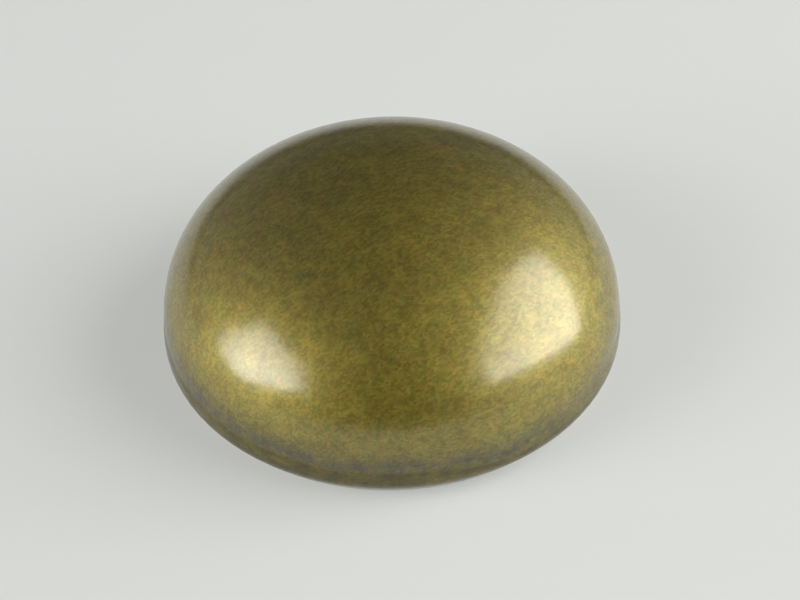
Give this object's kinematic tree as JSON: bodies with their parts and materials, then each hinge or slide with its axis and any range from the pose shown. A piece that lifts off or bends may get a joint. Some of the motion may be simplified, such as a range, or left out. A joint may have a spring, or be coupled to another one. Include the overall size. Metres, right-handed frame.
{
  "type": "convex stud",
  "caption": "Low domed metal stud head with a slim bead round its rim and a blind tapped hole in its flat underside for a screw.",
  "frame": {"origin": "centre of the flat underside, on the axis of the tapped hole", "axes": "+Z along the head's axis, from the underside up through the crown; X and Y are any two square directions in the plane of the underside"},
  "size_m": [0.015, 0.015, 0.0062],
  "materials": {
    "antique_brass": "satin antique brass with an olive-brown patina, fine speckle and faint brush marks, and a grey-blue band above the rim bead"
  },
  "bodies": {
    "root": {"domed_head": "antique_brass"}
  },
  "joints": []
}
